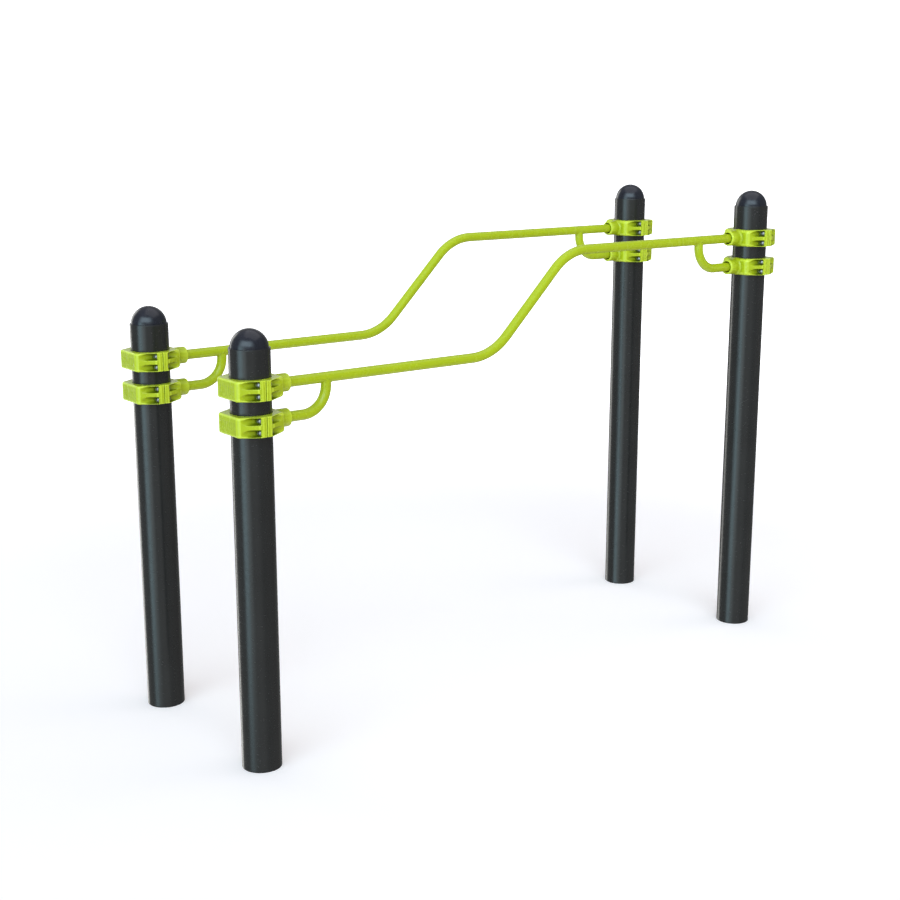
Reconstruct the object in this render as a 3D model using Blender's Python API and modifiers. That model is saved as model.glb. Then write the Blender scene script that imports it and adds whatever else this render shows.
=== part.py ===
"""Stepped parallel bars: two bent rails, clamped between a pair of low posts and a pair of high posts.

The frame: +X runs along the rails from the low posts to the high posts, +Y across from the front rail to the
back rail, +Z up. The origin is on the ground in the middle of the four posts. Lengths are in metres.
"""

import math

import bmesh
import bpy
from mathutils import Matrix, Vector

# Posts
POST_SPAN_X = 2.227
POST_SPAN_Y = 0.655
POST_RADIUS = 0.0635
POST_WALL = 0.004
RIM_ABOVE_RAIL = 0.119
POST_SIDES = 24

# Domed caps, which stand in the mouths of the posts
CAP_RADIUS = 0.0589
CAP_WALL = 0.004
CAP_DOME_SINK = 0.0015
CAP_SKIRT = 0.045
CAP_SIDES = 20
CAP_OUTER_STEPS = 5
CAP_INNER_STEPS = 3

# Rails, which are tubes with a low run, a slope and a high run
LOW_RAIL_Z = 1.2215
HIGH_RAIL_Z = 1.556
TUBE_RADIUS = 0.01685
TUBE_WALL = 0.0032
RAIL_END_FROM_POST = 0.076
SLOPE_ANGLE = math.radians(44.5)
SLOPE_FOOT_FROM_LOW_POST = 0.938
SLOPE_BEND_RADIUS = 0.210
SLOPE_BEND_STEPS = 4

# Struts, which drop from a rail and turn into the lower clamp
LOW_STRUT_FROM_LOW_POST = 0.2685
HIGH_STRUT_FROM_HIGH_POST = 0.287
STRUT_BEND_RADIUS = 0.085
STRUT_BEND_STEPS = 6
STRUT_RADIUS = 0.0166
CLAMP_PITCH = 0.1085

# Clamps, in their own frame: the post on the Z axis, the rail leaving along +X
CLAMP_HALF_HEIGHT = 0.031
SPLIT_HALF_GAP = 0.0015
FLANGE_FACE_X = 0.019
EAR_Y = 0.093
END_FACE_X = 0.082
END_FACE_HALF_Y = 0.059
END_CORNER_RADIUS = 0.010
END_CORNER_STEPS = 3
POST_FIT_GAP = 0.0004
POCKET_RADIUS = 0.011
POCKET_Y = 0.0755
POCKET_ARC_STEPS = 4
BOLT_Y = 0.080
BOLT_Z = 0.018

# The socket on the front half of a clamp
BOSS_RADIUS = 0.0285
BOSS_END_X = 0.128
BOSS_CHAMFER = 0.0035
BOSS_SIDES = 16
MOUTH_RADIUS = 0.0215
MOUTH_BOTTOM_X = 0.108
SEAT_RADIUS = 0.018
SEAT_BOTTOM_X = 0.0695
SEAT_SIDES = 12

# Fasteners: a button-head screw joined to its barrel nut
BOLT_HEAD_RADIUS = 0.00875
BOLT_HEAD_HEIGHT = 0.0055
BOLT_CROWN_RADIUS = 0.0045
BARREL_RADIUS = 0.006
BOLT_SIDES = 8
BOLT_HOLE_RADIUS = 0.0074
BOLT_HOLE_SIDES = 6
FIT_GAP = 0.0003

TUBE_OUTER_RESOLUTION = 4
TUBE_INNER_RESOLUTION = 2
CUT_MARGIN = 0.01
WELD_DISTANCE = 1e-6

RAIL_END_X = POST_SPAN_X / 2 - RAIL_END_FROM_POST


def clear_scene():
    for obj in list(bpy.data.objects):
        bpy.data.objects.remove(obj)


def new_collection(name):
    collection = bpy.data.collections.new(name)
    bpy.context.scene.collection.children.link(collection)
    return collection


def new_material(name, colour, roughness, metallic):
    material = bpy.data.materials.new(name)
    material.use_nodes = True
    shader = material.node_tree.nodes["Principled BSDF"]
    shader.inputs["Base Color"].default_value = (*colour, 1)
    shader.inputs["Roughness"].default_value = roughness
    shader.inputs["Metallic"].default_value = metallic
    return material


def add_object(name, data, collection, material=None):
    obj = bpy.data.objects.new(name, data)
    collection.objects.link(obj)
    if material and not data.materials:
        data.materials.append(material)
    return obj


def make_helper(obj):
    obj.hide_render = True
    obj.display_type = "WIRE"
    return obj


def evaluated_mesh(obj):
    """The object's mesh with its modifiers, in world space, with a curve's caps welded on."""
    bpy.context.view_layer.update()
    graph = bpy.context.evaluated_depsgraph_get()
    mesh = bpy.data.meshes.new_from_object(obj.evaluated_get(graph))
    mesh.transform(obj.matrix_world)
    welded = bmesh.new()
    welded.from_mesh(mesh)
    bmesh.ops.remove_doubles(welded, verts=welded.verts, dist=WELD_DISTANCE)
    bmesh.ops.recalc_face_normals(welded, faces=welded.faces)
    welded.to_mesh(mesh)
    welded.free()
    return mesh


def as_mesh_object(obj, collection):
    """Swaps a curve for a mesh object of the same name."""
    name = obj.name
    mesh = evaluated_mesh(obj)
    bpy.data.objects.remove(obj)
    return add_object(name, mesh, collection)


def cylinder(name, radius, low, high, sides, collection):
    """A closed cylinder along X from low to high."""
    mesh = bpy.data.meshes.new(name)
    shape = bmesh.new()
    bmesh.ops.create_cone(
        shape, cap_ends=True, segments=sides, radius1=radius, radius2=radius, depth=high - low
    )
    along_x = Matrix.Rotation(math.pi / 2, 4, "Y")
    to_place = Matrix.Translation(((low + high) / 2, 0, 0))
    bmesh.ops.transform(shape, matrix=to_place @ along_x, verts=shape.verts)
    shape.to_mesh(mesh)
    shape.free()
    return add_object(name, mesh, collection)


def turned(name, profile, sides, collection):
    """A profile of (radius, height) points, turned about Z. It runs down its outer side."""
    mesh = bpy.data.meshes.new(name)
    points = [(radius, 0, height) for radius, height in profile]
    edges = [(i, i + 1) for i in range(len(points) - 1)]
    if profile[0][0] > 0:
        edges.append((len(points) - 1, 0))
    mesh.from_pydata(points, edges, [])
    obj = add_object(name, mesh, collection)
    screw = obj.modifiers.new("Turn", "SCREW")
    screw.steps = sides
    screw.render_steps = sides
    screw.use_merge_vertices = True
    screw.merge_threshold = 0.0001
    return as_mesh_object(obj, collection)


def extruded(name, outline, half_depth, collection):
    """A flat outline of (x, y) points, extruded to both sides of its plane."""
    curve = bpy.data.curves.new(name, "CURVE")
    curve.dimensions = "2D"
    curve.fill_mode = "BOTH"
    curve.extrude = half_depth
    spline = curve.splines.new("POLY")
    spline.points.add(len(outline) - 1)
    for point, (x, y) in zip(spline.points, outline):
        point.co = (x, y, 0, 1)
    spline.use_cyclic_u = True
    return as_mesh_object(add_object(name, curve, collection), collection)


def tube(name, path, radius, resolution, collection):
    """A solid round bar along a path of (x, z) points."""
    curve = bpy.data.curves.new(name, "CURVE")
    curve.dimensions = "3D"
    curve.bevel_depth = radius
    curve.bevel_resolution = resolution
    curve.use_fill_caps = True
    spline = curve.splines.new("POLY")
    spline.points.add(len(path) - 1)
    for point, (x, z) in zip(spline.points, path):
        point.co = (x, 0, z, 1)
    return as_mesh_object(add_object(name, curve, collection), collection)


def apply_booleans(obj, steps):
    """Cuts or joins the helper objects, one after another, and returns the result as a mesh."""
    for operation, helper in steps:
        modifier = obj.modifiers.new(helper.name, "BOOLEAN")
        modifier.operation = operation
        modifier.object = make_helper(helper)
    name = obj.name
    mesh = evaluated_mesh(obj)
    mesh.name = name
    bpy.data.objects.remove(obj)
    for _, helper in steps:
        bpy.data.objects.remove(helper)
    return mesh


def arc(centre, radius, start, end, steps):
    """Points on an arc from start to end, counted anticlockwise from +X."""
    angles = [start + (end - start) * i / steps for i in range(steps + 1)]
    return [(centre[0] + radius * math.cos(a), centre[1] + radius * math.sin(a)) for a in angles]


def rail_path(end_margin):
    """The (x, z) line of a rail: the low run, the slope between two bends, and the high run."""
    slope_foot_x = -POST_SPAN_X / 2 + SLOPE_FOOT_FROM_LOW_POST
    slope_head_x = slope_foot_x + (HIGH_RAIL_Z - LOW_RAIL_Z) / math.tan(SLOPE_ANGLE)
    tangent = SLOPE_BEND_RADIUS * math.tan(SLOPE_ANGLE / 2)
    quarter = math.pi / 2
    low_centre = (slope_foot_x - tangent, LOW_RAIL_Z + SLOPE_BEND_RADIUS)
    high_centre = (slope_head_x + tangent, HIGH_RAIL_Z - SLOPE_BEND_RADIUS)
    return [
        (-RAIL_END_X - end_margin, LOW_RAIL_Z),
        *arc(low_centre, SLOPE_BEND_RADIUS, -quarter, SLOPE_ANGLE - quarter, SLOPE_BEND_STEPS),
        *arc(high_centre, SLOPE_BEND_RADIUS, SLOPE_ANGLE + quarter, quarter, SLOPE_BEND_STEPS),
        (RAIL_END_X + end_margin, HIGH_RAIL_Z),
    ]


def strut_path(side, rail_z, end_margin, reaches_rail):
    """The (x, z) line of the strut on the low side (-1) or the high side (1)."""
    leg_from_post = LOW_STRUT_FROM_LOW_POST if side < 0 else HIGH_STRUT_FROM_HIGH_POST
    leg_x = side * (POST_SPAN_X / 2 - leg_from_post)
    end_x = side * (RAIL_END_X + end_margin)
    run_z = rail_z - CLAMP_PITCH
    centre = (leg_x + side * STRUT_BEND_RADIUS, run_z + STRUT_BEND_RADIUS)
    bend = arc(centre, STRUT_BEND_RADIUS, -math.pi / 2, -math.pi / 2 - side * math.pi / 2, STRUT_BEND_STEPS)
    return [(end_x, run_z), *bend] + ([(leg_x, rail_z)] if reaches_rail else [])


def make_rail_mesh(scratch):
    """A rail with its two struts welded on, bored hollow."""
    rail = tube("rail", rail_path(0), TUBE_RADIUS, TUBE_OUTER_RESOLUTION, scratch)
    bore_radius = TUBE_RADIUS - TUBE_WALL
    rail_bore = tube("rail_bore", rail_path(CUT_MARGIN), bore_radius, TUBE_INNER_RESOLUTION, scratch)
    joins = []
    cuts = [("DIFFERENCE", rail_bore)]
    for side, rail_z in ((-1, LOW_RAIL_Z), (1, HIGH_RAIL_Z)):
        outer = strut_path(side, rail_z, 0, True)
        inner = strut_path(side, rail_z, CUT_MARGIN, False)
        joins.append(("UNION", tube("strut", outer, STRUT_RADIUS, TUBE_OUTER_RESOLUTION, scratch)))
        strut_bore = tube("strut_bore", inner, STRUT_RADIUS - TUBE_WALL, TUBE_INNER_RESOLUTION, scratch)
        cuts.append(("DIFFERENCE", strut_bore))
    return apply_booleans(rail, joins + cuts)


def make_post_mesh(height, scratch):
    inner = POST_RADIUS - POST_WALL
    profile = [(POST_RADIUS, height), (POST_RADIUS, 0), (inner, 0), (inner, height)]
    return turned("post", profile, POST_SIDES, scratch).data


def dome_profile(radius, steps):
    """Points of a quarter circle, from the crown down to the widest ring."""
    return [
        (radius * math.sin(a), radius * math.cos(a))
        for a in (math.pi / 2 * i / steps for i in range(steps + 1))
    ]


def make_cap_mesh(scratch):
    """A domed shell with a skirt. Its origin is the middle of the dome's widest ring."""
    inner_radius = CAP_RADIUS - CAP_WALL
    outer = dome_profile(CAP_RADIUS, CAP_OUTER_STEPS)
    inner = dome_profile(inner_radius, CAP_INNER_STEPS)
    skirt = [(CAP_RADIUS, -CAP_SKIRT), (inner_radius, -CAP_SKIRT)]
    return turned("cap", outer + skirt + inner[::-1], CAP_SIDES, scratch).data


def clamp_outline():
    """The plan of one clamp half on the +X side, anticlockwise, with rounded end corners."""
    slope = math.atan2(EAR_Y - END_FACE_HALF_Y, END_FACE_X - FLANGE_FACE_X)
    turn = math.pi / 2 - slope
    setback = END_CORNER_RADIUS * math.tan(turn / 2)
    centre_y = END_FACE_HALF_Y - setback
    centre = (END_FACE_X - END_CORNER_RADIUS, centre_y)
    corner = arc(centre, END_CORNER_RADIUS, 0, turn, END_CORNER_STEPS)
    upper = [*corner, (FLANGE_FACE_X, EAR_Y), (SPLIT_HALF_GAP, EAR_Y)]
    lower = [(x, -y) for x, y in reversed(upper)]
    return lower + upper


def pocket_cutter(name, y_side, z_side, scratch):
    """A slot with a half-round floor beside a bolt's axis, open away from the post."""
    reach = EAR_Y + CUT_MARGIN - POCKET_Y
    floor = arc((0, 0), POCKET_RADIUS, math.pi / 2, 3 * math.pi / 2, POCKET_ARC_STEPS)
    outline = [*floor, (reach, -POCKET_RADIUS), (reach, POCKET_RADIUS)]
    length = END_FACE_X + CUT_MARGIN - FLANGE_FACE_X
    cutter = extruded(name, outline, length / 2, scratch)
    along_x = Matrix(((0, 0, 1), (1, 0, 0), (0, 1, 0))).to_4x4()
    turn = Matrix.Rotation(math.pi if y_side < 0 else 0, 4, "X")
    place = Matrix.Translation((FLANGE_FACE_X + length / 2, y_side * POCKET_Y, z_side * BOLT_Z))
    cutter.data.transform(place @ turn @ along_x)
    return cutter


def clamp_cuts(scratch):
    """The cutters that both clamp halves share: the post's bore, the bolt pockets and the bolt holes."""
    bore = cylinder(
        "post_bore",
        POST_RADIUS + POST_FIT_GAP,
        -CLAMP_HALF_HEIGHT - CUT_MARGIN,
        CLAMP_HALF_HEIGHT + CUT_MARGIN,
        POST_SIDES,
        scratch,
    )
    bore.data.transform(Matrix.Rotation(math.pi / 2, 4, "Y"))
    cuts = [bore]
    for y_side in (-1, 1):
        for z_side in (-1, 1):
            cuts.append(pocket_cutter("pocket", y_side, z_side, scratch))
            hole = cylinder(
                "bolt_hole",
                BOLT_HOLE_RADIUS,
                -CUT_MARGIN,
                FLANGE_FACE_X + CUT_MARGIN,
                BOLT_HOLE_SIDES,
                scratch,
            )
            hole.data.transform(Matrix.Translation((0, y_side * BOLT_Y, z_side * BOLT_Z)))
            cuts.append(hole)
    return [("DIFFERENCE", cut) for cut in cuts]


def make_rear_half_mesh(scratch):
    """The clamp half without the socket, turned to the -X side of the post."""
    body = extruded("clamp_rear", clamp_outline(), CLAMP_HALF_HEIGHT, scratch)
    mesh = apply_booleans(body, clamp_cuts(scratch))
    mesh.transform(Matrix.Rotation(math.pi, 4, "Z"))
    return mesh


def make_socket_half_mesh(scratch):
    """The clamp half with the round boss that holds a tube's end. The boss has a wider mouth."""
    body = extruded("clamp_socket", clamp_outline(), CLAMP_HALF_HEIGHT, scratch)
    chamfer_x = BOSS_END_X - BOSS_CHAMFER
    profile = [
        (0, BOSS_END_X),
        (BOSS_RADIUS - BOSS_CHAMFER, BOSS_END_X),
        (BOSS_RADIUS, chamfer_x),
        (BOSS_RADIUS, SEAT_BOTTOM_X),
        (0, SEAT_BOTTOM_X),
    ]
    boss = turned("boss", profile, BOSS_SIDES, scratch)
    boss.data.transform(Matrix.Rotation(math.pi / 2, 4, "Y"))
    outside_x = BOSS_END_X + CUT_MARGIN
    seat = cylinder("seat", SEAT_RADIUS, SEAT_BOTTOM_X, outside_x, SEAT_SIDES, scratch)
    mouth = cylinder("mouth", MOUTH_RADIUS, MOUTH_BOTTOM_X, outside_x, SEAT_SIDES, scratch)
    steps = [("UNION", boss), *clamp_cuts(scratch), ("DIFFERENCE", seat), ("DIFFERENCE", mouth)]
    return apply_booleans(body, steps)


def make_bolt_mesh(scratch):
    """A screw and its barrel nut, tightened: a domed head outside each flange, on one axis along X."""
    seat = FLANGE_FACE_X + FIT_GAP
    crown = seat + BOLT_HEAD_HEIGHT
    half = [(0, crown), (BOLT_CROWN_RADIUS, crown), (BOLT_HEAD_RADIUS, seat), (BARREL_RADIUS, seat)]
    other_half = [(radius, -height) for radius, height in reversed(half)]
    bolt = turned("bolt", half + other_half, BOLT_SIDES, scratch)
    bolt.data.transform(Matrix.Rotation(math.pi / 2, 4, "Y"))
    return bolt.data


def place(name, mesh, material, parent, location, collection):
    obj = add_object(name, mesh, collection, material)
    obj.parent = parent
    obj.location = location
    return obj


def add_station(name, x_side, y_side, meshes, materials, collection):
    """One post with its cap and its two clamps. The station's empty stands at the post's foot."""
    low = x_side < 0
    rail_z = LOW_RAIL_Z if low else HIGH_RAIL_Z
    base = add_object(f"station_{name}", None, collection)
    base.location = (x_side * POST_SPAN_X / 2, y_side * POST_SPAN_Y / 2, 0)
    base.rotation_euler.z = 0 if low else math.pi
    rim_z = rail_z + RIM_ABOVE_RAIL
    post_mesh = meshes["post_low" if low else "post_high"]
    place(f"post_{name}", post_mesh, materials["post"], base, (0, 0, 0), collection)
    cap_place = (0, 0, rim_z - CAP_DOME_SINK)
    place(f"post_cap_{name}", meshes["cap"], materials["cap"], base, cap_place, collection)
    for level, drop in (("upper", 0), ("lower", CLAMP_PITCH)):
        clamp_z = rail_z - drop
        for kind in ("clamp_rear", "clamp_socket"):
            half_name = f"{kind}_{name}_{level}"
            place(half_name, meshes[kind], materials["clamp"], base, (0, 0, clamp_z), collection)
        corners = [(y, z) for y in (-BOLT_Y, BOLT_Y) for z in (-BOLT_Z, BOLT_Z)]
        for number, (y, z) in enumerate(corners, start=1):
            bolt_place = (0, y, clamp_z + z)
            bolt_name = f"clamp_bolt_{name}_{level}_{number}"
            place(bolt_name, meshes["bolt"], materials["bolt"], base, bolt_place, collection)


def main():
    clear_scene()
    collection = new_collection("stepped_parallel_bars")
    scratch = new_collection("cutters")
    materials = {
        "post": new_material("post_coat", (0.030, 0.033, 0.034), 0.35, 0.0),
        "cap": new_material("cap_coat", (0.026, 0.029, 0.036), 0.40, 0.0),
        "clamp": new_material("clamp_coat", (0.45, 0.63, 0.03), 0.35, 0.0),
        "rail": new_material("rail_coat", (0.45, 0.62, 0.03), 0.35, 0.0),
        "bolt": new_material("bolt_steel", (0.62, 0.62, 0.60), 0.25, 1.0),
    }
    meshes = {
        "post_low": make_post_mesh(LOW_RAIL_Z + RIM_ABOVE_RAIL, scratch),
        "post_high": make_post_mesh(HIGH_RAIL_Z + RIM_ABOVE_RAIL, scratch),
        "cap": make_cap_mesh(scratch),
        "clamp_rear": make_rear_half_mesh(scratch),
        "clamp_socket": make_socket_half_mesh(scratch),
        "bolt": make_bolt_mesh(scratch),
    }
    rail_mesh = make_rail_mesh(scratch)
    for helper in list(scratch.objects):
        bpy.data.objects.remove(helper)
    for x_name, x_side in (("low", -1), ("high", 1)):
        for y_name, y_side in (("front", -1), ("back", 1)):
            add_station(f"{x_name}_{y_name}", x_side, y_side, meshes, materials, collection)
    for y_name, y_side in (("front", -1), ("back", 1)):
        rail = place(f"rail_{y_name}", rail_mesh, materials["rail"], None, (0, 0, 0), collection)
        rail.location.y = y_side * POST_SPAN_Y / 2
    smooth_angle = math.radians(40)
    for mesh in (*meshes.values(), rail_mesh):
        mesh.shade_smooth()
        mesh.set_sharp_from_angle(angle=smooth_angle)


main()
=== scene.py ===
"""The looks of the stepped parallel bars: fine surfaces, materials, light and camera round the frame.

Every piece takes its place from the frame. Lengths are in metres, apart from the clamps and their screws,
which are shaped in millimetres. A clamp half's own frame has the post on its Z axis and the end face of
the half at +X.
"""

import math

import bmesh
import bpy
import numpy as np
from mathutils import Matrix, Vector


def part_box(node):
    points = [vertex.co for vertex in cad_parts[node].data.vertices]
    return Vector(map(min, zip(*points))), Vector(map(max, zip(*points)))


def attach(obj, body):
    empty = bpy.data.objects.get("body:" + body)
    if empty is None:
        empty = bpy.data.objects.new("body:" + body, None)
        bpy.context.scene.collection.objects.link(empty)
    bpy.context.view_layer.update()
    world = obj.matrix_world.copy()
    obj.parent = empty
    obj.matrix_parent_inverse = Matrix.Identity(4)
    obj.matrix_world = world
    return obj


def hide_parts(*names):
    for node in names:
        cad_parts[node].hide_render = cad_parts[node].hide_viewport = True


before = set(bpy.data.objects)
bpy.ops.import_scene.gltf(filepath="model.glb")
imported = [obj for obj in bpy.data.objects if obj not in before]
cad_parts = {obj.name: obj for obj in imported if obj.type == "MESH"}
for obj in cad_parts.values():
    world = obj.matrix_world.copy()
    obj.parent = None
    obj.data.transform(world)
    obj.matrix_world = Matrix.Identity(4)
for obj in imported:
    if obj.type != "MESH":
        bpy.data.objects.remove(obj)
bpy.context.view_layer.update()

STATIONS = [(x, y) for x in ("low", "high") for y in ("front", "back")]
LEVELS = ("upper", "lower")
MM = 0.001

# Rails and struts, as in the frame
TUBE_RADIUS = 0.01685
STRUT_RADIUS = 0.0166
SLOPE_ANGLE = math.radians(44.5)
SLOPE_FOOT_FROM_LOW_POST = 0.938
SLOPE_BEND_RADIUS = 0.210
STRUT_FROM_POST = {"low": 0.2685, "high": 0.287}
STRUT_BEND_RADIUS = 0.085
STRUT_INTO_RAIL = 0.004
TUBE_SIDES = 48
SLOPE_BEND_STEPS = 20
STRUT_BEND_STEPS = 28

# The weld bead under a rail
BEAD_RADIUS = 0.0022
BEAD_RIPPLE = 0.00025
BEAD_RIPPLES = 22
BEAD_STATIONS = 96
BEAD_SIDES = 10

# Posts and caps
POST_WALL = 0.004
POST_EDGE = 0.0009
POST_HOLD = 0.004
CAP_WALL = 0.004
CAP_EDGE = 0.001
DOME_STEPS = 28
LATHE_SIDES = 96

# Clamp castings, in millimetres
HALF_HEIGHT = 31.0
SPLIT_GAP = 1.5
FLANGE_X = 19.0
EAR_Y = 93.0
END_X = 82.0
END_HALF_Y = 59.0
POST_BORE = 63.9
BOLT_Y = 80.0
BOLT_Z = 18.0
POCKET_RADIUS = 11.0
POCKET_Y = 75.5
BOLT_HOLE = 6.8
BOSS_RADIUS = 28.5
BOSS_END = 128.0
MOUTH_RADIUS = 21.5
MOUTH_BOTTOM = 108.0
SEAT_RADIUS = 17.9
SEAT_BOTTOM = 69.5

# The castings' edges and fillets, in millimetres. The upper and lower edges widen from the flange on.
CORE_EDGE = 1.2
SPLIT_EDGE = 1.0
EAR_EDGE = 4.0
END_EDGE = 9.0
UPPER_EDGE_FROM_X = 19.0
UPPER_EDGE_TO_X = 75.0
FLANGE_UPPER_EDGE = 2.0
PLAIN_UPPER_EDGE = 6.5
SOCKET_UPPER_EDGE = 11.0
BOSS_EDGE = 5.5
BOSS_FILLET = 9.0
BOSS_START = 60.0
POCKET_FLOOR_EDGE = 2.0
POCKET_EDGE = 2.4

# The grooved panel on a plain half, in millimetres
GROOVE_PITCH = 12.0
GROOVE_HALF_WIDTH = 2.6
GROOVE_HALF_LENGTH = 12.0
GROOVE_PANEL_Y = 45.0
GROOVE_DEPTH = 0.9
GROOVE_SOFTNESS = 2.2
GROOVE_FROM_X = 68.0
GROOVE_FADE = 6.0

# Screws, in millimetres
SCREW_SIDES = 36
SCREW_CLEARANCE = 0.3
HEAD_RADIUS = 8.75
HEAD_HEIGHT = 5.5
HEAD_RIM = 0.6
HEAD_DOME_DEGREES = (38, 50, 62, 73, 82, 90)
HEAD_EDGE = 0.25
CROWN_RADIUS = 4.3
CROWN_DROP = 0.45
SHANK_RADIUS = 6.0
RECESS_RADIUS = 2.6
RECESS_DEPTH = 2.4
RECESS_RIM = 0.35
SCREW_TURN = 0.7

# How finely the castings are meshed, and how far from the surface their recesses are felt for the painted
# shade, in millimetres
CELL = 1.3
KEPT_SHARE = 0.45
RECESS_REACHES = (6.0, 12.0, 20.0, 28.0)

# The stage
STAGE_RADIUS = 80.0
WALL_HEIGHT = 40.0


# ---------------------------------------------------------------- meshes


def new_object(name, verts, faces, smooth_angle=None):
    """A smooth-shaded mesh whose faces point outwards. Edges above the angle in degrees stay sharp."""
    mesh = bpy.data.meshes.new(name)
    mesh.from_pydata([tuple(v) for v in verts], [], [tuple(f) for f in faces])
    mesh.validate()
    tidy = bmesh.new()
    tidy.from_mesh(mesh)
    bmesh.ops.recalc_face_normals(tidy, faces=tidy.faces)
    tidy.to_mesh(mesh)
    tidy.free()
    mesh.shade_smooth()
    if smooth_angle:
        mesh.set_sharp_from_angle(angle=math.radians(smooth_angle))
    return link(name, mesh)


def link(name, mesh):
    obj = bpy.data.objects.new(name, mesh)
    bpy.context.scene.collection.objects.link(obj)
    return obj


def loft(name, rings, closed=False, smooth_angle=35, ends=True):
    """Joins rings of equal length in order. The ends get a fan, unless the rings close on themselves."""
    rings = [np.asarray(r, float) for r in rings]
    sides = len(rings[0])
    verts = np.concatenate(rings)
    faces = []
    last = len(rings) if closed else len(rings) - 1
    for i in range(last):
        a, b = i * sides, ((i + 1) % len(rings)) * sides
        faces += [(a + j, a + (j + 1) % sides, b + (j + 1) % sides, b + j) for j in range(sides)]
    if ends and not closed:
        for start, ring in ((0, rings[0]), ((len(rings) - 1) * sides, rings[-1])):
            verts = np.concatenate([verts, ring.mean(axis=0)[None]])
            faces += [(len(verts) - 1, start + j, start + (j + 1) % sides) for j in range(sides)]
    return new_object(name, verts, faces, smooth_angle)


def circle(radius, height, sides=LATHE_SIDES):
    """A ring about Z. The radius is a number or a function of the angle."""
    angles = np.arange(sides) * 2 * math.pi / sides
    r = radius(angles) if callable(radius) else np.full(sides, radius)
    return np.stack([r * np.cos(angles), r * np.sin(angles), np.full(sides, height)], axis=1)


def arc(centre, radius, start, end, steps):
    """Points along an arc of a circle, as (x, z) pairs."""
    angles = np.linspace(start, end, steps + 1)
    return [(centre[0] + radius * math.cos(a), centre[1] + radius * math.sin(a)) for a in angles]


def tube(name, path, radius, sides=TUBE_SIDES):
    """A round tube along (x, z) points, closed flat at each end."""
    points = np.array([(x, 0, z) for x, z in path])
    steps = np.diff(points, axis=0)
    steps /= np.linalg.norm(steps, axis=1)[:, None]
    tangents = np.concatenate([steps[:1], steps[:-1] + steps[1:], steps[-1:]])
    tangents /= np.linalg.norm(tangents, axis=1)[:, None]
    stretch = np.ones(len(points))
    stretch[1:-1] = 1 / np.einsum("ij,ij->i", tangents[1:-1], steps[:-1])
    side = np.array((0, 1, 0))
    angles = np.arange(sides) * 2 * math.pi / sides
    rings = []
    for point, tangent, wide in zip(points, tangents, stretch):
        up = np.cross(tangent, side)
        ring = point + radius * (
            np.cos(angles)[:, None] * side + np.sin(angles)[:, None] * wide * up
        )
        rings.append(ring)
    return loft(name, rings)


# ---------------------------------------------------------------- distance fields


def round_and(a, b, radius):
    """The overlap of two shapes, with its outer edge rounded."""
    corner = np.hypot(np.maximum(a + radius, 0), np.maximum(b + radius, 0))
    return np.minimum(-radius, np.maximum(a, b)) + corner


def round_or(a, b, radius):
    """The union of two shapes, with a fillet between them."""
    return -round_and(-a, -b, radius)


def grooves(x, y, z):
    """How deep the upright grooves cut into the end of a plain half."""
    from_middle = np.abs((y + GROOVE_PITCH / 2) % GROOVE_PITCH - GROOVE_PITCH / 2)
    within = np.minimum(GROOVE_HALF_WIDTH - from_middle, GROOVE_HALF_LENGTH - np.abs(z))
    within = np.minimum(within, GROOVE_PANEL_Y - np.abs(y))
    share = np.clip(within / GROOVE_SOFTNESS + 0.5, 0, 1)
    return GROOVE_DEPTH * share * np.clip((x - GROOVE_FROM_X) / GROOVE_FADE, 0, 1)


def clamp_half(points, socket, detailed=True):
    """Signed distance to one clamp half: negative inside. Its details are the grooves and bolt pockets."""
    x, y, z = points[:, 0], np.abs(points[:, 1]), np.abs(points[:, 2])
    flare = math.atan2(EAR_Y - END_HALF_Y, END_X - FLANGE_X)
    side = (x - END_X) * math.sin(flare) + (y - END_HALF_Y) * math.cos(flare)
    plan = round_and(side, y - EAR_Y, EAR_EDGE)
    plan = round_and(plan, x - END_X, END_EDGE)
    outer_edge = SOCKET_UPPER_EDGE if socket else PLAIN_UPPER_EDGE
    edge = np.interp(x, (UPPER_EDGE_FROM_X, UPPER_EDGE_TO_X), (FLANGE_UPPER_EDGE, outer_edge))
    body = round_and(plan, z - HALF_HEIGHT, edge)
    if detailed and not socket:
        body = body + grooves(*points.T)
    if socket:
        from_axis = np.hypot(y, z)
        boss = round_and(from_axis - BOSS_RADIUS, x - BOSS_END, BOSS_EDGE)
        boss = round_and(boss, BOSS_START - x, SPLIT_EDGE)
        body = round_or(body, boss, BOSS_FILLET)
        seat = np.maximum(from_axis - SEAT_RADIUS, SEAT_BOTTOM - x)
        mouth = np.maximum(from_axis - MOUTH_RADIUS, MOUTH_BOTTOM - x)
        body = round_and(body, -np.minimum(seat, mouth), CORE_EDGE)
    body = round_and(body, POST_BORE - np.hypot(x, y), CORE_EDGE)
    body = round_and(body, SPLIT_GAP - x, SPLIT_EDGE)
    if not detailed:
        return body
    across = np.hypot(np.minimum(y - POCKET_Y, 0), z - BOLT_Z)
    pocket = round_and(across - POCKET_RADIUS, FLANGE_X - x, POCKET_FLOOR_EDGE)
    body = round_and(body, -pocket, POCKET_EDGE)
    hole = np.hypot(y - BOLT_Y, z - BOLT_Z) - BOLT_HOLE
    return np.maximum(body, -hole)


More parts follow.
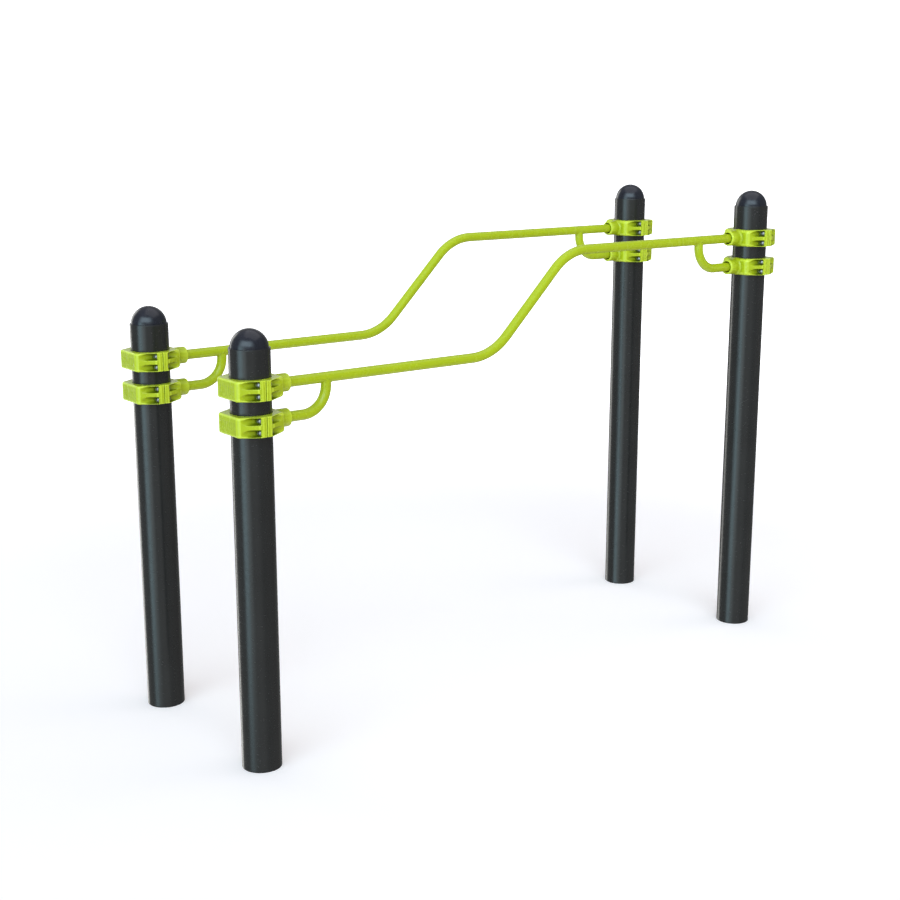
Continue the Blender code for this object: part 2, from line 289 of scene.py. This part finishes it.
def surface_net(field, low, high, cell):
    """A quad mesh of the field's zero surface: one vertex in each cell that the surface crosses."""
    low, high = np.array(low, float), np.array(high, float)
    counts = np.ceil((high - low) / cell).astype(int) + 1
    axes = [low[i] + cell * np.arange(counts[i]) for i in range(3)]
    grid = np.stack(np.meshgrid(*axes, indexing="ij"), axis=-1).reshape(-1, 3)
    inside = (field(grid) < 0).reshape(counts)
    nx, ny, nz = counts - 1
    total = np.zeros((nx, ny, nz), int)
    for i in (0, 1):
        for j in (0, 1):
            for k in (0, 1):
                total += inside[i : nx + i, j : ny + j, k : nz + k]
    crossed = (total > 0) & (total < 8)
    index = np.full(crossed.shape, -1)
    index[crossed] = np.arange(crossed.sum())
    verts = low + cell * (np.argwhere(crossed) + 0.5)
    faces = []
    for axis, (u, v) in enumerate(((1, 2), (2, 0), (0, 1))):
        first = np.moveaxis(inside, axis, 0)[:-1]
        second = np.moveaxis(inside, axis, 0)[1:]
        edges = np.argwhere(np.moveaxis(first != second, 0, axis))
        leaves = inside[tuple(edges.T)]
        ring = []
        for du, dv in ((-1, -1), (0, -1), (0, 0), (-1, 0)):
            at = edges.copy()
            at[:, u] += du
            at[:, v] += dv
            ring.append(index[tuple(at.T)])
        quads = np.stack(ring, axis=1)
        quads[~leaves] = quads[~leaves][:, ::-1]
        faces.append(quads)
    return verts, np.concatenate(faces)


def slope_of(field, points, reach=0.02):
    """The field's slope along X, Y and Z."""
    parts = []
    for axis in range(3):
        step = np.zeros(3)
        step[axis] = reach
        parts.append((field(points + step) - field(points - step)) / (2 * reach))
    return np.stack(parts, axis=1)


def settle(field, points, rounds=5, limit=0.8):
    """Moves points onto the field's zero surface, by no more than the limit in each round."""
    least_square = 0.05
    for _ in range(rounds):
        slope = slope_of(field, points)
        square = np.maximum((slope**2).sum(axis=1), least_square)
        move = -(field(points) / square)[:, None] * slope
        length = np.linalg.norm(move, axis=1, keepdims=True)
        points = points + move * np.minimum(1, limit / np.maximum(length, 1e-9))
    return points


def bend_of(field, points, reach=1.5):
    """How far the surface bends: above 0 on an edge, below 0 in a hollow."""
    steps = reach * np.concatenate([np.eye(3), -np.eye(3)])
    around = sum(field(points + step) for step in steps)
    return np.clip((around - 6 * field(points)) / reach, -1, 1)


def points_of(mesh):
    """The places of a mesh's vertices, as rows."""
    co = np.empty(len(mesh.vertices) * 3)
    mesh.vertices.foreach_get("co", co)
    return co.reshape(-1, 3)


def weld(mesh, reach=0.04):
    """Closes up edges that have shrunk to nothing and drops pairs of faces that lie on each other."""
    bm = bmesh.new()
    bm.from_mesh(mesh)
    bmesh.ops.dissolve_degenerate(bm, edges=bm.edges, dist=reach)
    bmesh.ops.triangulate(bm, faces=bm.faces)
    twins = {}
    for face in bm.faces:
        twins.setdefault(frozenset(face.verts), []).append(face)
    folded = [face for pair in twins.values() if len(pair) > 1 for face in pair]
    bmesh.ops.delete(bm, geom=folded, context="FACES")
    bm.to_mesh(mesh)
    bm.free()


def cast_mesh(name, socket, high_x):
    """A cast clamp half from its distance field, thinned out where it is flat, with exact normals.
    It records how the surface bends, where the rims of the grooves and pockets don't count as edges,
    and how deep each point lies in a recess. The coat paints highlight and shade from these.
    """

    def field(points):
        return clamp_half(points, socket)

    def plain_field(points):
        return clamp_half(points, socket, detailed=False)

    margin = 3
    low = (-2, -EAR_Y - margin, -HALF_HEIGHT - margin)
    high = (high_x + margin, EAR_Y + margin, HALF_HEIGHT + margin)
    verts, faces = surface_net(field, low, high, CELL)
    obj = new_object(name, settle(field, verts), faces)
    thin = obj.modifiers.new("Thin", "DECIMATE")
    thin.ratio = KEPT_SHARE
    graph = bpy.context.evaluated_depsgraph_get()
    mesh = bpy.data.meshes.new_from_object(obj.evaluated_get(graph))
    bpy.data.objects.remove(obj)
    mesh.name = name
    mesh.vertices.foreach_set("co", settle(field, points_of(mesh), rounds=3, limit=0.4).ravel())
    weld(mesh)
    points = points_of(mesh)
    normals = slope_of(field, points, reach=0.25)
    normals /= np.maximum(np.linalg.norm(normals, axis=1, keepdims=True), 1e-9)
    bend = np.minimum(bend_of(field, points), bend_of(plain_field, points))
    free = sum(field(points + far * normals) / far for far in RECESS_REACHES) / len(RECESS_REACHES)
    recess = np.clip(1 - free, 0, 1)
    mesh.vertices.foreach_set("co", (points * MM).ravel())
    for label, values in (("bend", bend), ("recess", recess)):
        mesh.attributes.new(label, "FLOAT", "POINT").data.foreach_set("value", values.astype(np.float32))
    mesh.shade_smooth()
    mesh.normals_split_custom_set_from_vertices([tuple(n) for n in normals])
    mesh.update()
    return mesh


# ---------------------------------------------------------------- materials


class Nodes:
    """A node tree with short ways to add to it."""

    def __init__(self, tree):
        self.tree = tree

    def add(self, kind, inputs=None, **settings):
        node = self.tree.nodes.new(kind)
        for key, value in settings.items():
            setattr(node, key, value)
        for key, value in (inputs or {}).items():
            if isinstance(value, bpy.types.NodeSocket):
                self.tree.links.new(value, node.inputs[key])
            else:
                node.inputs[key].default_value = value
        return node

    def math(self, operation, a, b=0.0):
        return self.add("ShaderNodeMath", {0: a, 1: b}, operation=operation).outputs[0]

    def ramp(self, value, low, high, out_low=0.0, out_high=1.0, kind="LINEAR"):
        """Maps low to out_low and high to out_high, and holds the value beyond them."""
        node = self.add(
            "ShaderNodeMapRange",
            {"Value": value, "From Min": low, "From Max": high, "To Min": out_low, "To Max": out_high},
            interpolation_type=kind,
        )
        return node.outputs[0]

    def mix(self, share, a, b):
        """The colour a where the share is 0 and b where it is 1."""
        node = self.add("ShaderNodeMix", data_type="RGBA")
        # The node has sockets for numbers and vectors before those for colours
        for socket, value in ((node.inputs[0], share), (node.inputs[6], a), (node.inputs[7], b)):
            if isinstance(value, bpy.types.NodeSocket):
                self.tree.links.new(value, socket)
            else:
                socket.default_value = value if isinstance(value, float) else (*value, 1)
        return node.outputs[2]


class Look(Nodes):
    """A node material with a Principled shader."""

    def __init__(self, name):
        self.material = bpy.data.materials.new(name)
        self.material.use_nodes = True
        super().__init__(self.material.node_tree)
        self.shader = self.tree.nodes["Principled BSDF"]
        self.place = self.add("ShaderNodeTexCoord").outputs["Object"]
        self.own = self.add("ShaderNodeObjectInfo").outputs["Random"]

    def noise(self, scale, detail=2.0, roughness=0.5):
        """Noise in the object's own space, which differs from one object to the next."""
        shift = self.math("MULTIPLY", self.own, 37.0)
        node = self.add(
            "ShaderNodeTexNoise",
            {"Vector": self.place, "W": shift, "Scale": scale, "Detail": detail, "Roughness": roughness},
            noise_dimensions="4D",
        )
        return node.outputs["Fac"]

    def spread(self, scale, detail=2.0, roughness=0.5, low=0.0, high=1.0):
        """Noise whose middle range is stretched to run from low to high."""
        return self.ramp(self.noise(scale, detail, roughness), 0.3, 0.7, low, high)

    def bump(self, height, distance, strength=1.0):
        inputs = {"Height": height, "Distance": distance, "Strength": strength}
        return self.add("ShaderNodeBump", inputs).outputs[0]

    def connect(self, **sockets):
        """Sets the shader's sockets, named with underscores, to a constant or to a node's output."""
        for key, value in sockets.items():
            name = key.replace("_", " ")
            if isinstance(value, bpy.types.NodeSocket):
                self.tree.links.new(value, self.shader.inputs[name])
            else:
                self.shader.inputs[name].default_value = value


def green_coat(name, cast):
    """Lime green powder coat. On a casting, a painted highlight lightens its edges, and painted shade
    darkens its hollows and recesses.
    """
    look = Look(name)
    colour = look.mix(look.spread(14.0, 3.0), (0.388, 0.474, 0.0082), (0.412, 0.500, 0.0105))
    if cast:
        bend = look.add("ShaderNodeAttribute", attribute_name="bend").outputs["Fac"]
        # Painted highlight: the rounded edges turn a paler green, in a noisy share, as if lit
        edge = look.ramp(bend, 0.06, 0.15)
        painted_edge_highlight = look.math("MULTIPLY", edge, look.ramp(look.noise(60.0, 4.0), 0.3, 0.75, 0.7, 1.0))
        colour = look.mix(painted_edge_highlight, colour, (0.58, 0.70, 0.045))
        # Painted shade: where the surface bends inwards, in fillets, creases and groove floors, the green
        # is darkened
        hollow = look.ramp(bend, -0.05, -0.6, 0.0, 0.55)
        colour = look.mix(hollow, colour, (0.17, 0.23, 0.0035))
        # Painted shade: the deeper a point lies in a pocket, gap or recess, the darker the green, nearly
        # to black, as occlusion
        recess = look.add("ShaderNodeAttribute", attribute_name="recess").outputs["Fac"]
        colour = look.mix(look.ramp(recess, 0.22, 0.60, 0.0, 0.9), colour, (0.07, 0.10, 0.002))
    specks = look.ramp(look.noise(420.0, 2.0), 0.66, 0.74, 0.0, 0.25)
    colour = look.mix(specks, colour, (0.32, 0.43, 0.008))
    gloss = look.spread(45.0, 4.0, low=0.21, high=0.31)
    peel = look.math("MULTIPLY", look.noise(260.0, 2.0), 0.8)
    grit = look.math("MULTIPLY", look.noise(1100.0, 3.0), 0.25)
    relief = look.bump(look.math("ADD", peel, grit), 0.00014 if cast else 0.00006, 0.8)
    look.connect(Base_Color=colour, Roughness=gloss, Normal=relief, Specular_IOR_Level=0.42)
    return look.material


def dark_coat(name, dark, light, roughness, grain):
    """Charcoal powder coat with a fine raised grain."""
    look = Look(name)
    colour = look.mix(look.spread(9.0, 4.0, 0.6), dark, light)
    specks = look.ramp(look.noise(310.0, 2.0), 0.62, 0.72, 0.0, 0.5)
    colour = look.mix(specks, colour, tuple(c * 1.3 for c in light))
    gloss = look.spread(130.0, 3.0, low=roughness - 0.06, high=roughness + 0.08)
    coarse = look.math("MULTIPLY", look.noise(170.0, 2.0), 0.6)
    fine = look.math("MULTIPLY", look.noise(620.0, 3.0), 0.4)
    relief = look.bump(look.math("ADD", coarse, fine), grain, 0.9)
    look.connect(Base_Color=colour, Roughness=gloss, Normal=relief, Specular_IOR_Level=0.5)
    return look.material


def stainless(name):
    """Plain stainless steel with a fine grain."""
    look = Look(name)
    grain = look.noise(900.0, 3.0, 0.6)
    colour = look.mix(look.ramp(grain, 0.3, 0.7), (0.26, 0.26, 0.25), (0.36, 0.36, 0.35))
    gloss = look.spread(500.0, 3.0, low=0.28, high=0.44)
    look.connect(Base_Color=colour, Roughness=gloss, Metallic=1.0, Normal=look.bump(grain, 0.00006, 0.6))
    return look.material


def floor_look(name):
    """A pale, almost white surface, which glows far from the object so that no horizon shows."""
    look = Look(name)
    colour = look.mix(look.spread(0.8, 3.0), (0.925, 0.865, 0.85), (0.955, 0.895, 0.88))
    gloss = look.spread(3.0, 2.0, low=0.75, high=0.90)
    relief = look.bump(look.noise(60.0), 0.0004, 0.3)
    distance = look.add("ShaderNodeVectorMath", {0: look.place}, operation="LENGTH").outputs["Value"]
    glow = look.ramp(distance, 2.0, 7.0, 0.20, 1.0, kind="SMOOTHSTEP")
    look.connect(Base_Color=colour, Roughness=gloss, Normal=relief, Specular_IOR_Level=0.1)
    look.connect(Emission_Strength=glow, Emission_Color=(1, 1, 1, 1))
    return look.material


RAIL_COAT = green_coat("rail_green", cast=False)
CLAMP_COAT = green_coat("clamp_green", cast=True)
POST_COAT = dark_coat(
    "post_charcoal", (0.0134, 0.0134, 0.0129), (0.0171, 0.0172, 0.0166), roughness=0.21, grain=0.00030
)
CAP_COAT = dark_coat(
    "cap_charcoal", (0.0090, 0.0104, 0.0165), (0.0115, 0.0133, 0.0205), roughness=0.20, grain=0.00016
)
STEEL = stainless("bolt_stainless")


def dress(obj, material, node):
    """Gives a piece its material and its body, and lets it stand in for a node of the frame."""
    obj.data.materials.clear()
    obj.data.materials.append(material)
    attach(obj, "root")
    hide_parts(node)


# ---------------------------------------------------------------- posts and caps


def post_axis(station):
    """The middle of a post, its radius, and the heights of its foot and rim."""
    low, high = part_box(f"post_{station}")
    return (low + high) / 2, (high.x - low.x) / 2, low.z, high.z


def make_post(station):
    """A tube with softened ends. Rings close behind each end keep the long faces evenly shaded."""
    middle, outer, foot, rim = post_axis(station)
    inner = outer - POST_WALL
    soft, hold, cut = POST_EDGE, POST_HOLD, 0.3 * POST_EDGE
    profile = [(outer, foot + hold), (outer, foot + soft), (outer - cut, foot + cut)]
    profile += [(outer - soft, foot), (inner + soft, foot), (inner, foot + soft), (inner, foot + hold)]
    profile += [(inner, rim - hold), (inner, rim - soft), (inner + soft, rim), (outer - soft, rim)]
    profile += [(outer - cut, rim - cut), (outer, rim - soft), (outer, rim - hold)]
    rings = [circle(r, z) for r, z in profile]
    obj = loft(f"post_tube_{station}", rings, closed=True, smooth_angle=50)
    obj.location = (middle.x, middle.y, 0)
    dress(obj, POST_COAT, f"post_{station}")


def make_cap(station):
    """A hollow dome with a straight skirt, open underneath."""
    low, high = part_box(f"post_cap_{station}")
    middle = (low + high) / 2
    radius = (high.x - low.x) / 2
    thin = radius - CAP_WALL
    base = high.z - radius
    angles = [math.pi / 2 * i / DOME_STEPS for i in range(1, DOME_STEPS + 1)]
    outer = [(radius * math.sin(a), base + radius * math.cos(a)) for a in angles]
    inner = [(thin * math.sin(a), base + thin * math.cos(a)) for a in angles[::2]]
    skirt = [(radius, low.z + CAP_EDGE), (radius - CAP_EDGE, low.z), (thin, low.z)]
    rings = [circle(r, z) for r, z in outer + skirt + inner[::-1]]
    obj = loft(f"post_dome_{station}", rings, smooth_angle=60)
    obj.location = (middle.x, middle.y, 0)
    dress(obj, CAP_COAT, f"post_cap_{station}")


for station in STATIONS:
    make_post("_".join(station))
    make_cap("_".join(station))


# ---------------------------------------------------------------- rails


def clamp_height(station, level):
    """The height of a clamp's middle."""
    low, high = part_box(f"clamp_rear_{station}_{level}")
    return (low.z + high.z) / 2


def make_rail(side):
    """A rail with a low run, a slope and a high run, and the strut under each of its ends."""
    low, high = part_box(f"rail_{side}")
    low_post = post_axis(f"low_{side}")[0]
    low_z = clamp_height(f"low_{side}", "upper")
    high_z = high.z - TUBE_RADIUS
    foot_x = low_post.x + SLOPE_FOOT_FROM_LOW_POST
    head_x = foot_x + (high_z - low_z) / math.tan(SLOPE_ANGLE)
    tangent = SLOPE_BEND_RADIUS * math.tan(SLOPE_ANGLE / 2)
    quarter = math.pi / 2
    low_centre = (foot_x - tangent, low_z + SLOPE_BEND_RADIUS)
    high_centre = (head_x + tangent, high_z - SLOPE_BEND_RADIUS)
    path = [(low.x, low_z)]
    path += arc(low_centre, SLOPE_BEND_RADIUS, -quarter, SLOPE_ANGLE - quarter, SLOPE_BEND_STEPS)
    path += arc(high_centre, SLOPE_BEND_RADIUS, SLOPE_ANGLE + quarter, quarter, SLOPE_BEND_STEPS)
    path += [(high.x, high_z)]
    rail = tube(f"rail_tube_{side}", path, TUBE_RADIUS)
    rail.location.y = low_post.y
    dress(rail, RAIL_COAT, f"rail_{side}")
    for end, sign, rail_z, end_x in (("low", -1, low_z, low.x), ("high", 1, high_z, high.x)):
        make_strut(side, end, sign, rail_z, end_x)


def make_strut(side, end, sign, rail_z, end_x):
    """A strut that drops from the rail and turns towards the lower clamp. The sign is -1 at the low end
    and +1 at the high end.
    """
    post = post_axis(f"{end}_{side}")[0]
    leg_x = post.x - sign * STRUT_FROM_POST[end]
    run_z = clamp_height(f"{end}_{side}", "lower")
    centre = (leg_x + sign * STRUT_BEND_RADIUS, run_z + STRUT_BEND_RADIUS)
    start = -math.pi / 2
    bend = arc(centre, STRUT_BEND_RADIUS, start, start - sign * math.pi / 2, STRUT_BEND_STEPS)
    path = [(end_x, run_z), *bend, (leg_x, rail_z - STRUT_INTO_RAIL)]
    strut = tube(f"strut_tube_{end}_{side}", path, STRUT_RADIUS)
    strut.location.y = post.y
    dress(strut, RAIL_COAT, f"rail_{side}")
    bead = make_bead(f"strut_weld_{end}_{side}")
    bead.location = (leg_x, post.y, rail_z)
    dress(bead, RAIL_COAT, f"rail_{side}")


def make_bead(name):
    """The painted-over weld bead where a strut meets the underside of a rail."""
    rise = np.array((0, 0, 1))
    rings = []
    for i in range(BEAD_STATIONS):
        a = 2 * math.pi * i / BEAD_STATIONS
        out = np.array((math.cos(a), math.sin(a), 0))
        seam = STRUT_RADIUS * out
        seam[2] = -math.sqrt(TUBE_RADIUS**2 - seam[1] ** 2)
        thick = BEAD_RADIUS + BEAD_RIPPLE * math.sin(a * BEAD_RIPPLES)
        turns = [2 * math.pi * j / BEAD_SIDES for j in range(BEAD_SIDES)]
        rings.append([seam + thick * (math.cos(b) * out + math.sin(b) * rise) for b in turns])
    return loft(name, rings, closed=True, smooth_angle=None)


for rail_side in ("front", "back"):
    make_rail(rail_side)


# ---------------------------------------------------------------- clamps


def make_screw_mesh():
    """A button-head screw in its barrel nut, along X, each with a hexagon recess."""
    seat = FLANGE_X + SCREW_CLEARANCE
    top = seat + HEAD_HEIGHT

    def hexagon(size):
        def radius(angles):
            return size / np.cos((angles + math.pi / 6) % (math.pi / 3) - math.pi / 6)
        return radius

    def head(direction):
        dome_base, dome_height = seat + HEAD_RIM, HEAD_HEIGHT - HEAD_RIM
        angles = [math.radians(d) for d in HEAD_DOME_DEGREES]
        recess = hexagon(RECESS_RADIUS)
        profile = [(hexagon(RECESS_RADIUS / 4), top - RECESS_DEPTH - 0.2)]
        profile += [(recess, top - RECESS_DEPTH), (recess, top - RECESS_RIM)]
        profile += [(hexagon(RECESS_RADIUS + RECESS_RIM), top - 0.05), (CROWN_RADIUS, top - CROWN_DROP)]
        profile += [(HEAD_RADIUS * math.sin(a), dome_base + dome_height * math.cos(a)) for a in angles]
        profile += [(HEAD_RADIUS, seat + HEAD_EDGE), (HEAD_RADIUS - HEAD_EDGE, seat), (SHANK_RADIUS, seat)]
        rings = [circle(r, direction * z, SCREW_SIDES) for r, z in profile]
        return rings if direction > 0 else rings[::-1]

    obj = loft("screw", head(1) + head(-1), smooth_angle=40)
    obj.data.transform(Matrix.Rotation(math.pi / 2, 4, "Y") @ Matrix.Scale(MM, 4))
    mesh = obj.data
    bpy.data.objects.remove(obj)
    return mesh


plain_half = cast_mesh("plain_half", False, END_X)
socket_half = cast_mesh("socket_half", True, BOSS_END)
screw_mesh = make_screw_mesh()


def make_clamp(station, level):
    """Two cast halves, with the socket towards the middle of the object, and four screws."""
    inward = 1 if station.startswith("low") else -1
    post = post_axis(station)[0]
    centre = (post.x, post.y, clamp_height(station, level))
    for kind, mesh, direction in (("rear", plain_half, -inward), ("socket", socket_half, inward)):
        half = link(f"clamp_{kind}_casting_{station}_{level}", mesh)
        half.location = centre
        half.rotation_euler.z = 0 if direction > 0 else math.pi
        dress(half, CLAMP_COAT, f"clamp_{kind}_{station}_{level}")
    for number in range(1, 5):
        node = f"clamp_bolt_{station}_{level}_{number}"
        bolt_low, bolt_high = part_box(node)
        screw = link(f"clamp_screw_{station}_{level}_{number}", screw_mesh)
        screw.location = (bolt_low + bolt_high) / 2
        screw.rotation_euler.x = SCREW_TURN * number
        dress(screw, STEEL, node)


for station in STATIONS:
    for level in LEVELS:
        make_clamp("_".join(station), level)


# ---------------------------------------------------------------- stage


def make_stage():
    """A pale floor and, far off, a white wall round it. Both are there for the camera alone."""
    floor_rings = [circle(r, 0) for r in (0.0001, 0.5, 2, 5, 12, 30, STAGE_RADIUS)]
    wall_rings = [circle(STAGE_RADIUS, z) for z in (0, WALL_HEIGHT / 2, WALL_HEIGHT)]
    pale = floor_look("studio_pale")
    for name, rings in (("studio_floor", floor_rings), ("studio_wall", wall_rings)):
        piece = loft(name, rings, ends=False)
        piece.data.materials.append(pale)
        piece.visible_glossy = False
        piece.visible_diffuse = False
        piece.visible_shadow = False


def soft_box(name, position, target, size, power, mirrored):
    """A rectangular lamp that the camera doesn't see. Surfaces mirror it or not."""
    light = bpy.data.lights.new(name, "AREA")
    light.shape = "RECTANGLE"
    light.size, light.size_y = size
    light.energy = power
    obj = bpy.data.objects.new(name, light)
    obj.location = position
    aim = Vector(target) - Vector(position)
    obj.rotation_euler = aim.to_track_quat("-Z", "Y").to_euler()
    obj.visible_camera = False
    obj.visible_glossy = mirrored
    bpy.context.scene.collection.objects.link(obj)


def make_world():
    """A studio all round the object, as light by direction. It is dim round the horizon and brighter
    overhead and underneath, and soft-edged panels stand in it. A panel's azimuth is in degrees, where 0
    is +X and 90 is +Y, and its heights run from -1 underneath, through 0 at the horizon, to 1 overhead.
    """
    world = bpy.data.worlds.new("studio")
    world.use_nodes = True
    sky = Nodes(world.node_tree)
    direction = sky.add("ShaderNodeTexCoord").outputs["Generated"]
    x, y, z = sky.add("ShaderNodeSeparateXYZ", {0: direction}).outputs
    turn = sky.math("ARCTAN2", sky.math("MULTIPLY", y, -1.0), sky.math("MULTIPLY", x, -1.0))
    azimuth = sky.math("ADD", sky.math("MULTIPLY", turn, math.degrees(1)), 180.0)

    def step(value, low, high):
        return sky.ramp(value, low, high, kind="SMOOTHSTEP")

    def panel(centre, half_width, soft, low, high, fade=0.06):
        """How far a direction lies within a panel, from 0 to 1."""
        off = sky.math("ABSOLUTE", sky.math("SUBTRACT", azimuth, centre))
        across = step(off, half_width + soft, half_width - soft)
        rise = step(z, low - fade, low + fade)
        fall = step(z, high + fade, high - fade)
        return sky.math("MULTIPLY", across, sky.math("MULTIPLY", rise, fall))

    light = sky.mix(step(x, 0.7, 1.0), (0.30, 0.30, 0.30), (0.18, 0.18, 0.18))
    light = sky.mix(step(z, 0.55, 0.85), light, (0.46, 0.46, 0.52))
    light = sky.mix(step(z, -0.6, -0.9), light, (1.1, 1.1, 1.1))
    for share, colour in (
        # One by the camera and two to its left
        (panel(246, 24, 14, -0.65, 0.15), (0.52, 0.52, 0.52)),
        (panel(208, 12, 8, -0.36, 0.10, 0.12), (1.5, 1.7, 1.75)),
        (panel(187, 13, 8, -0.39, 0.22, 0.14), (2.05, 2.9, 3.2)),
        # Two behind the object
        (panel(75, 38, 12, 0.02, 0.40), (0.80, 0.80, 0.80)),
        (panel(96, 11, 6, -0.65, 0.50), (2.6, 2.6, 2.5)),
        # One high above the camera
        (panel(220, 38, 20, 0.24, 0.70, 0.08), (2.9, 3.7, 4.2)),
    ):
        light = sky.mix(share, light, colour)
    background = world.node_tree.nodes["Background"]
    world.node_tree.links.new(light, background.inputs["Color"])
    bpy.context.scene.world = world


def make_camera():
    """The photograph's viewpoint: near the low front post, above its rail, looking slightly down."""
    camera = bpy.data.cameras.new("camera")
    camera.sensor_width = 36.0
    camera.lens = 57.80
    camera.clip_end = 100.0
    obj = bpy.data.objects.new("camera", camera)
    obj.location = (-3.2619, -4.0479, 2.0087)
    obj.rotation_euler = (math.pi / 2 - 0.2268, 0, -0.6631)
    bpy.context.scene.collection.objects.link(obj)
    bpy.context.scene.camera = obj


make_stage()
make_world()
soft_box("top", (0.5, -0.5, 6.0), (0, 0, 0.5), (6.0, 6.0), 70.0, True)
soft_box("right", (12.0, -5.5, 2.0), (0, 0, 1.0), (8.0, 5.0), 560.0, False)
soft_box("left", (-5.0, -11.0, 3.0), (0, 0, 1.0), (8.0, 5.0), 270.0, False)
make_camera()
bpy.context.scene.view_settings.view_transform = "Standard"
